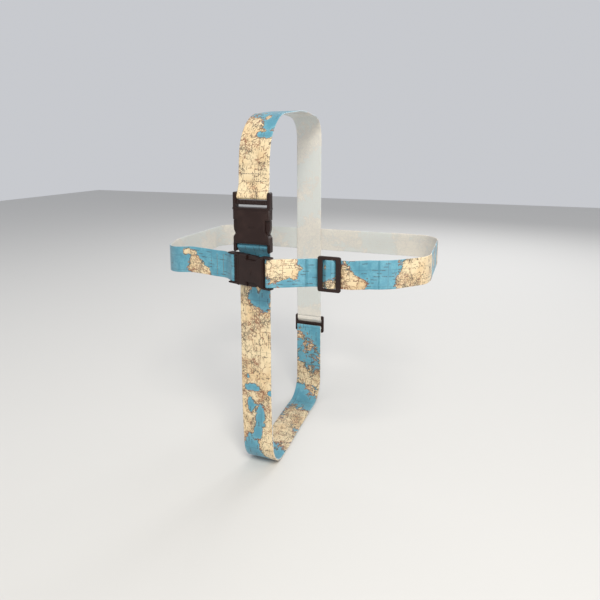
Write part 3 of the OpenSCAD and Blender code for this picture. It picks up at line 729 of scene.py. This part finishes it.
lastUpright = len(verticalPath) - 1
crestX, crestZ = case["crest"]
overTop = nearestOn(verticalPath, (crestX + cuts["pastCrest"], crestZ - cuts["underCrest"]))
rearTop = nearestOn(verticalPath, (case["back"] + half, cuts["rearTop"]), 0, len(verticalPath) // 2)
rearIn = nearestOn(verticalPath, (rearPass, rearMid + sliderHalf), overTop)
rearOut = nearestOn(verticalPath, (rearPass, rearMid - sliderHalf), rearIn)
rearEnd = nearestOn(verticalPath, (case["back"] + outerLayer, cuts["rearFoot"]), rearOut)
tailEnd = nearestOn(verticalPath, (case["back"] + half, cuts["rearFoot"]), 2 * len(verticalPath) // 3)

strapPieces = [
    ("strap_top_front", 0, overTop, ["plug_loop_web_wide", "upper_front_web", "top_front_web"]),
    ("strap_top_back", overTop, rearTop, ["top_back_web", "upper_back_web", "back_web_end"]),
    ("strap_above_slider", rearTop, rearIn, []),
    ("strap_in_rear_slider", rearIn, rearOut, ["rear_slider_web"]),
    ("strap_below_slider", rearOut, rearEnd, ["lower_back_web"]),
    ("strap_under_and_front", rearEnd, tailEnd, [
        "bottom_back_web", "bottom_web", "bottom_front_web", "lower_front_web", "socket_loop_web_wide",
        "lower_front_tail", "bottom_front_tail", "bottom_tail", "bottom_back_tail"]),
    ("strap_tail_end", tailEnd, lastUpright, ["lower_back_tail"])]
made = {}


def layWebbing(pieces, path, plane, width, shift, land):
    for name, first, last, nodes in pieces:
        made[name] = webPiece(name, path, first, last, plane, width, shift, land, tape)
        if nodes:
            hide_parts(*nodes)


layWebbing(strapPieces, verticalPath, "upright", web["wide"], verticalShift, verticalLand)
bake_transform(made["strap_top_front"])
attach(made["strap_top_back"], "root")
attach(made["strap_under_and_front"], "root")
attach(made["strap_in_rear_slider"], "rear_slider")
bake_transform(made["strap_above_slider"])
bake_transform(made["strap_below_slider"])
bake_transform(made["strap_tail_end"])

lastLevel = len(levelPath) - 1
nearSlider = nearestOn(levelPath, (cuts["rightFront"], case["front"] - half), len(levelPath) // 2)
sliderIn = nearestOn(levelPath, (frontMid + sliderHalf, frontPass), nearSlider)
sliderOut = nearestOn(levelPath, (frontMid - sliderHalf, frontPass), sliderIn)
legHold = nearestOn(levelPath, (cuts["byBuckle"], case["front"] - cuts["outerLeg"]), sliderOut)
loopTop = nearestOn(levelPath, (rightBar[0] - cuts["loopTop"], rightBar[1]), sliderOut)
innerHold = nearestOn(levelPath, (cuts["byBuckle"], case["front"] - cuts["innerLeg"]), loopTop)
levelPieces = [
    ("belt_left_back_right", 0, nearSlider, [
        "plug_loop_web_narrow", "left_front_web", "left_side_web", "cross_back_web", "right_side_web"]),
    ("belt_right_of_slider", nearSlider, sliderIn, ["right_front_web"]),
    ("belt_in_slider", sliderIn, sliderOut, ["front_slider_web"]),
    ("belt_outer_leg", sliderOut, legHold, []),
    ("belt_socket_loop", legHold, innerHold, ["adjuster_web"]),
    ("belt_inner_end", innerHold, lastLevel, [])]
layWebbing(levelPieces, levelPath, "level", web["narrow"], levelShift, levelLand)
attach(made["belt_left_back_right"], "root")
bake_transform(made["belt_right_of_slider"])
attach(made["belt_in_slider"], "front_slider")
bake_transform(made["belt_outer_leg"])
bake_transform(made["belt_socket_loop"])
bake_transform(made["belt_inner_end"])
print("webbing done")

# buckles and sliders: copies of the CAD solids with every edge rounded
edgeRounding = dict(plug_frame_wide=0.5, socket_wide=0.6, prong_left_wide=0.5, prong_right_wide=0.5,
                    plug_frame_narrow=0.45, socket_narrow=0.55, prong_upper_narrow=0.45,
                    prong_lower_narrow=0.45, front_slider=0.7, rear_slider=0.7)
rounding = dict(segments=3, sharperThan=28, flatWithin=1.5, merge=2e-6)
bodyOf = {node: body for body, nodes in frame["record"]["behaviour"]["bodies"].items() for node in nodes}


def roundedCopy(node, width):
    mesh = frame["nodes"][node].data.copy()
    mesh.name = node + "_moulded"
    bm = bmesh.new()
    bm.from_mesh(mesh)
    bmesh.ops.remove_doubles(bm, verts=bm.verts, dist=rounding["merge"])
    flat = math.radians(rounding["flatWithin"])
    bmesh.ops.dissolve_limit(bm, angle_limit=flat, verts=bm.verts, edges=bm.edges)
    bm.to_mesh(mesh)
    bm.free()
    mesh.materials.clear()
    mesh.materials.append(plastic)
    obj = addObject(node + "_moulded", mesh)
    smoothShaded(mesh)
    bevel = obj.modifiers.new("edges", "BEVEL")
    bevel.width = width * 0.001
    bevel.segments = rounding["segments"]
    bevel.limit_method = "ANGLE"
    bevel.angle_limit = math.radians(rounding["sharperThan"])
    bevel.harden_normals = True
    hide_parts(node)
    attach(obj, bodyOf[node])
    return obj


for node, width in edgeRounding.items():
    made[node] = roundedCopy(node, width)

# moulded details: a raised cover on each socket and small teeth on each ribbed bar
# sizes along a buckle from its plug's tip: mouth, socket's end, half width, thickness
moulding = dict(
    wide=dict(mouth=26, end=77, half=29.9, thick=13, body="root", plug="plug_wide", web=25.4,
              badge=(13, 3.4)),
    narrow=dict(mouth=23, end=69, half=23.9, thick=11.5, body="socket_narrow", plug="root", web=21.4,
                badge=(3.2, 11)))
cover = dict(rise=0.7, sunk=0.4, rim=3.0, bay=15, bayLength=26, bayDeep=7, ramp=9, round=0.5, bayRoom=1.6,
             fromMouth=2.2, fromEnd=2.4, bayBefore=2.0, bayAfter=1.2, slope=6.5,
             corners=[2.0, 1.2, 2.6, 5.0, 3.0, 2.0])
badge = dict(rise=0.45, start=0.2, round=0.3)
plateEdge = dict(rings=6, inner=2.2, crown=0.03)
teeth = dict(start=12, length=6.4, pitch=2.35, radius=0.92, below=2.65, sides=10, taper=0.75, past=0.15,
             shoulder=0.35, margin=0.8)


def buckleToWorld(kind, p):
    x, y, z = p[:, 0], p[:, 1], p[:, 2]
    if kind == "wide":
        return np.stack([y, wideBuckle["back"] - z, wideBuckle["tip"] - x], 1)
    t = math.radians(narrowBuckle["tilt"])
    return np.stack([narrowBuckle["left"] + x * math.cos(t) - z * math.sin(t),
                     narrowBuckle["back"] - x * math.sin(t) - z * math.cos(t), web["crossing"] + y], 1)


def dressPlastic(obj, body):
    smoothShaded(obj.data)
    settleNormals(obj.data)
    obj.data.materials.append(plastic)
    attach(obj, body)
    made[obj.name] = obj


def softPlate(name, kind, outline, low, high, edge, body):
    # a plate on a closed outline: straight sides, then rings drawn in along a quarter circle of radius edge,
    # then one ring further in that raises the middle a little
    a, b = np.roll(outline, 1, 0), np.roll(outline, -1, 0)
    d = (b - a) / np.linalg.norm(b - a, axis=1)[:, None]
    inward = np.stack([-d[:, 1], d[:, 0]], 1)
    area = (outline[:, 0] * b[:, 1] - b[:, 0] * outline[:, 1]).sum()
    inward *= 1 if area > 0 else -1
    t = np.radians(np.linspace(0, 90, plateEdge["rings"]))
    draw = np.concatenate([[0], edge * (1 - np.cos(t)), [edge * plateEdge["inner"]]])
    level = np.concatenate([[low], high - edge + edge * np.sin(t), [high + plateEdge["crown"]]])
    flat = outline[None] + inward[None] * draw[:, None, None]
    pts = np.concatenate([flat, np.broadcast_to(level[:, None, None], (*flat.shape[:2], 1))], -1)
    rows, cols = pts.shape[:2]
    ends = [list(range(cols))[::-1], list(range((rows - 1) * cols, rows * cols))]
    obj = meshFrom(name, buckleToWorld(kind, pts.reshape(-1, 3)), gridQuads(rows, cols), ends)
    dressPlastic(obj, body)


def coverOutline(m):
    # half of the outline as a rounded line, then its mirror image back
    c = cover
    out, waist = m["half"] - c["rim"], m["half"] - c["bayDeep"] - c["bayRoom"]
    x0, x1 = m["mouth"] + c["fromMouth"], m["end"] - c["fromEnd"]
    bayIn = m["mouth"] + c["bay"] - c["bayBefore"]
    bayOut = m["mouth"] + c["bay"] + c["bayLength"] - c["ramp"] + c["bayAfter"]
    side = [(x0, 0), (x0, out), (bayIn, out), (bayIn, waist), (bayOut, waist), (bayOut + c["slope"], out),
            (x1, out), (x1, 0)]
    line = roundedLine(side, c["corners"], 15)
    line = np.concatenate([line, (line * [1, -1])[::-1][1:-1]])
    keep = np.linalg.norm(line - np.roll(line, 1, 0), axis=1) > 0.02
    return line[keep]


def oval(x, y, rx, ry):
    t = np.radians(np.arange(0, 360, 9))
    return np.stack([x + rx * np.cos(t), y + ry * np.sin(t)], 1)


def coverAndBadge(kind, m):
    top, high = m["thick"], m["thick"] + cover["rise"]
    softPlate("cover_" + kind, kind, coverOutline(m), top - cover["sunk"], high, cover["round"], m["body"])
    rx, ry = (m["badge"][1], m["badge"][0]) if kind == "wide" else m["badge"]
    outline = oval((m["mouth"] + m["end"]) / 2, 0, rx / 2, ry / 2)
    low, high = top + badge["start"], high + badge["rise"]
    softPlate("badge_" + kind, kind, outline, low, high, badge["round"], m["body"])


def teethOnBar(kind, m):
    # Round ribs half sunk in the bar, one every pitch: four rings round a line along the buckle,
    # the first and last of them smaller.
    sides, rings = teeth["sides"], 4
    count = int(2 * (m["web"] - teeth["margin"]) / teeth["pitch"])
    mids = (np.arange(count) - (count - 1) / 2) * teeth["pitch"]
    a = np.radians(np.arange(0, 360, 360 // sides))
    ring = np.stack([np.cos(a), np.sin(a)], 1) * teeth["radius"]
    start, stop = teeth["start"], teeth["start"] + teeth["length"]
    along = np.array([start - teeth["past"], start + teeth["shoulder"], stop - teeth["shoulder"],
                      stop + teeth["past"]])
    size = np.array([teeth["taper"], 1, 1, teeth["taper"]])
    one = np.stack([np.broadcast_to(along[:, None], (rings, sides)), size[:, None] * ring[None, :, 0],
                    m["thick"] - teeth["below"] + size[:, None] * ring[None, :, 1]], -1)
    pts = (one[None] + mids[:, None, None, None] * np.array([0, 1, 0])).reshape(-1, 3)
    each = rings * sides
    quads = (gridQuads(rings, sides)[None] + np.arange(count)[:, None, None] * each).reshape(-1, 4)
    caps = [[i * each + j for j in range(sides)][::-1] for i in range(count)]
    caps += [[(i + 1) * each - sides + j for j in range(sides)] for i in range(count)]
    dressPlastic(meshFrom("teeth_" + kind, buckleToWorld(kind, pts), quads, caps), m["plug"])


for kind, sizes in moulding.items():
    coverAndBadge(kind, sizes)
    teethOnBar(kind, sizes)
print("buckles and sliders done")

# stitches, each a short rounded thread
sewing = dict(length=3.0, pitch=3.7, radius=0.42, flat=0.8, lift=0.12, inset=4, corner=3, middle=2, rings=7,
              sides=6)


def stitchRows(name, rows, normal):
    # Each stitch is a bead whose radius goes as the square root of one minus the fourth power of the place
    # along it. Beads are laid from one end of a row to the other and stand on the surface's normal.
    normal = np.array(normal, float)
    rings, sides = sewing["rings"], sewing["sides"]
    t = np.linspace(-1, 1, rings)
    fat = np.sqrt(np.clip(1 - t ** 4, 0.02, 1))
    a = np.linspace(0, 2 * np.pi, sides, endpoint=False)
    verts, quads, caps, count = [], [], [], 0
    base = gridQuads(rings, sides)
    for start, end in rows:
        start, end = np.array(start, float), np.array(end, float)
        length = np.linalg.norm(end - start)
        d = (end - start) / length
        side = np.cross(normal, d)
        k = max(1, int(length / sewing["pitch"]))
        mids = start + d * ((np.arange(k) + 0.5) / k * length)[:, None]
        around = np.cos(a)[None, :, None] * side + np.sin(a)[None, :, None] * normal * sewing["flat"]
        one = t[:, None, None] * sewing["length"] / 2 * d + sewing["radius"] * fat[:, None, None] * around
        verts.append((mids[:, None] + one.reshape(-1, 3)[None] + normal * sewing["lift"]).reshape(-1, 3))
        for i in range(k):
            quads.append(base + count)
            caps += [[count + j for j in range(sides)][::-1],
                     [count + (rings - 1) * sides + j for j in range(sides)]]
            count += rings * sides
    obj = meshFrom(name, np.concatenate(verts), np.concatenate(quads), caps)
    smoothShaded(obj.data)
    settleNormals(obj.data)
    obj.data.materials.append(thread)
    made[name] = obj
    return obj


wideSide, narrowSide = web["wide"] / 2 - sewing["inset"], web["narrow"] / 2 - sewing["inset"]
level = web["crossing"]
face = case["front"] - 2 * web["thick"] - web["gap"]
rows = [((-wideSide, face, plugBar[1] + dz), (wideSide, face, plugBar[1] + dz)) for dz in sewn["rows"]]
seam = stitchRows("seam_wide_loop", rows, (0, -1, 0))
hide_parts("plug_loop_stitches_wide")
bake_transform(seam)
rows = [((leftBar[0] - dx, face, level - narrowSide), (leftBar[0] - dx, face, level + narrowSide))
        for dx in sewn["rows"]]
seam = stitchRows("seam_narrow_loop", rows, (0, -1, 0))
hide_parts("plug_loop_stitches_narrow")
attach(seam, "root")
# a box where the straps cross at the back, and the four arms of a cross inside it
behind = case["back"] + 2 * web["thick"]
corners = [(x * wideSide, behind, level + z * narrowSide) for x, z in ((-1, -1), (1, -1), (1, 1), (-1, 1))]
rows = [(corners[i], corners[(i + 1) % 4]) for i in range(4)]
farX, farZ, nearBy = wideSide - sewing["corner"], narrowSide - sewing["corner"], sewing["middle"]
rows += [((-farX, behind, level - farZ), (-nearBy, behind, level - nearBy)),
         ((nearBy, behind, level + nearBy), (farX, behind, level + farZ)),
         ((farX, behind, level - farZ), (nearBy, behind, level - nearBy)),
         ((-nearBy, behind, level + nearBy), (-farX, behind, level + farZ))]
seam = stitchRows("seam_crossing", rows, (0, 1, 0))
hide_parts("back_cross_stitches")
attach(seam, "root")
print("stitches done")


# floor, light and camera
room = dict(floorSize=8, floorGap=0.0005, floorColour=(0.60, 0.595, 0.58, 1), floorRoughness=0.8,
            sky=(0.93, 0.95, 1.0, 1), skyStrength=0.62, aim=(0.02, -0.05, 0.3))
lamps = dict(
    key=dict(place=(0.8, -1.5, 2.1), size=0.9, power=50, tint=(1.0, 0.95, 0.86)),
    sheen=dict(place=(1.7, -1.35, 0.35), size=0.5, power=13, tint=(1, 0.99, 0.97)),
    left=dict(place=(-1.9, -0.8, 1.3), size=1.5, power=4, tint=(0.94, 0.97, 1.0)),
    back=dict(place=(0.3, 1.9, 1.6), size=1.4, power=22, tint=(1, 1, 1)))
eye = dict(place=(0.3136, -0.7948, 0.5072), turn=19.86, down=8.0, lens=29.76, lift=-0.1385, sensor=36,
           nearest=0.02)


def layFloor():
    bpy.ops.mesh.primitive_plane_add(size=room["floorSize"], location=(0, 0, cadBox[0][2] - room["floorGap"]))
    floor = bpy.context.object
    floor.name = "floor"
    material, _, shader = startMaterial("paleFloor")
    shader.inputs["Base Color"].default_value = room["floorColour"]
    shader.inputs["Roughness"].default_value = room["floorRoughness"]
    floor.data.materials.append(material)


def lightRoom():
    world = bpy.data.worlds.new("studio")
    bpy.context.scene.world = world
    world.use_nodes = True
    sky = world.node_tree.nodes["Background"]
    sky.inputs[0].default_value = room["sky"]
    sky.inputs[1].default_value = room["skyStrength"]
    for name, lamp in lamps.items():
        data = bpy.data.lights.new(name, "AREA")
        data.size = lamp["size"]
        data.energy = lamp["power"]
        data.color = lamp["tint"]
        obj = addObject(name, data)
        obj.location = lamp["place"]
        x, y, z = np.array(room["aim"]) - np.array(lamp["place"])
        obj.rotation_euler = (math.atan2(math.hypot(x, y), -z), 0, math.atan2(y, x) - math.pi / 2)


def setCamera():
    data = bpy.data.cameras.new("photographer")
    data.lens = eye["lens"]
    data.sensor_width = eye["sensor"]
    data.shift_y = eye["lift"]
    data.clip_start = eye["nearest"]
    cam = addObject("photographer", data)
    cam.location = eye["place"]
    cam.rotation_euler = (math.radians(90 - eye["down"]), 0, math.radians(eye["turn"]))
    bpy.context.scene.camera = cam


layFloor()
lightRoom()
setCamera()
bpy.context.scene.view_settings.view_transform = "Standard"


print("scene ready")
